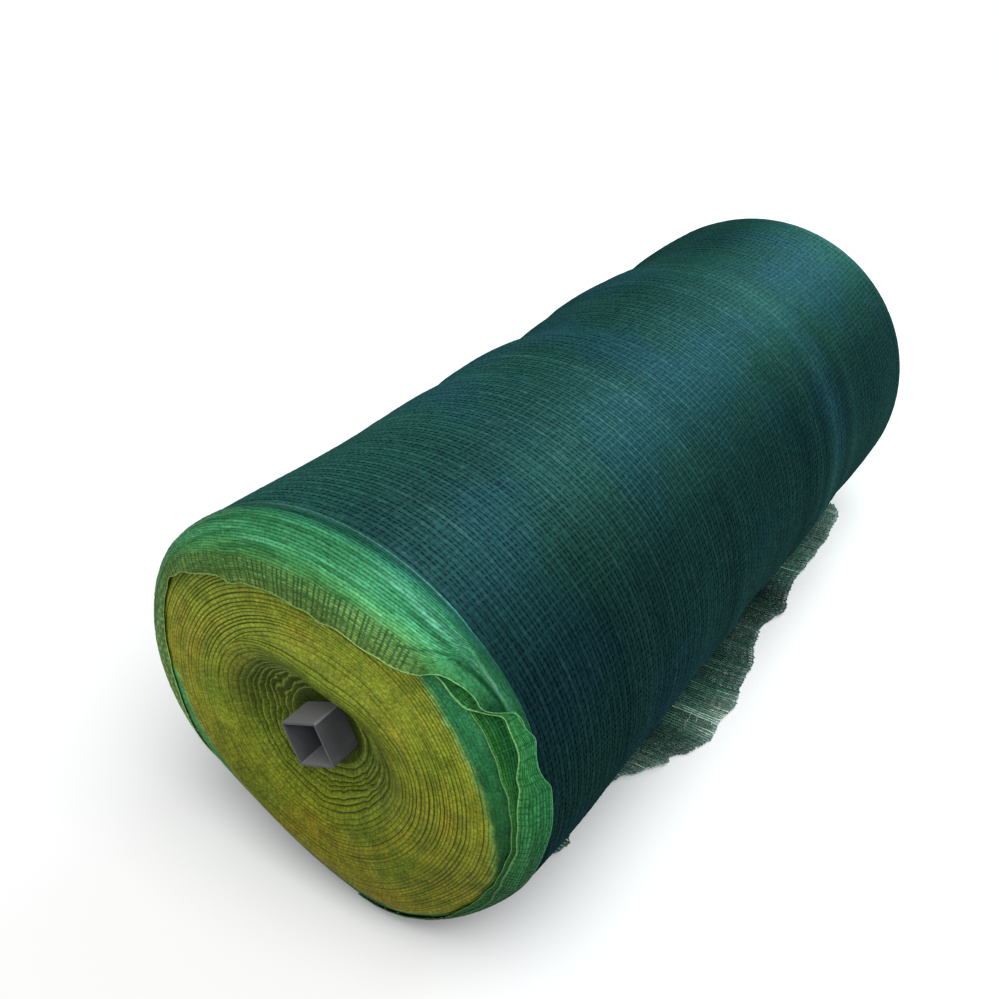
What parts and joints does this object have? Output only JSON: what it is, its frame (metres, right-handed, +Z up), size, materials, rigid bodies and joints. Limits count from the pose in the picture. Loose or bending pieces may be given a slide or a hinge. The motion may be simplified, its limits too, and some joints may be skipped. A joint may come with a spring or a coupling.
{
  "type": "roll of olive harvesting net",
  "caption": "Green knitted harvest net wound into a long roll on a square steel tube, lying on its side, with loose selvedges over one end and its cut end on the floor.",
  "frame": {"origin": "middle of the flat spot that the roll rests on, at floor level", "axes": "+Y along the roll's axis away from the pictured end, +Z up, +X towards the side where the loose end lies"},
  "size_m": [0.421, 1.0064, 0.4083],
  "materials": {
    "tube_steel": "satin dark grey, lightly scuffed",
    "net_dark": "knitted monofilament, dark teal green with a soft sheen",
    "selvedge": "close knitted edge, bright green turning yellow at the hem",
    "net_sheer": "single ply of open knitted net, pale and see-through"
  },
  "bodies": {
    "root": {"core_tube": "tube_steel", "net_roll": "net_dark", "selvedge_lip": "selvedge", "selvedge_flap": "selvedge", "selvedge_ply": "selvedge", "loose_end": "net_sheer"}
  },
  "joints": []
}
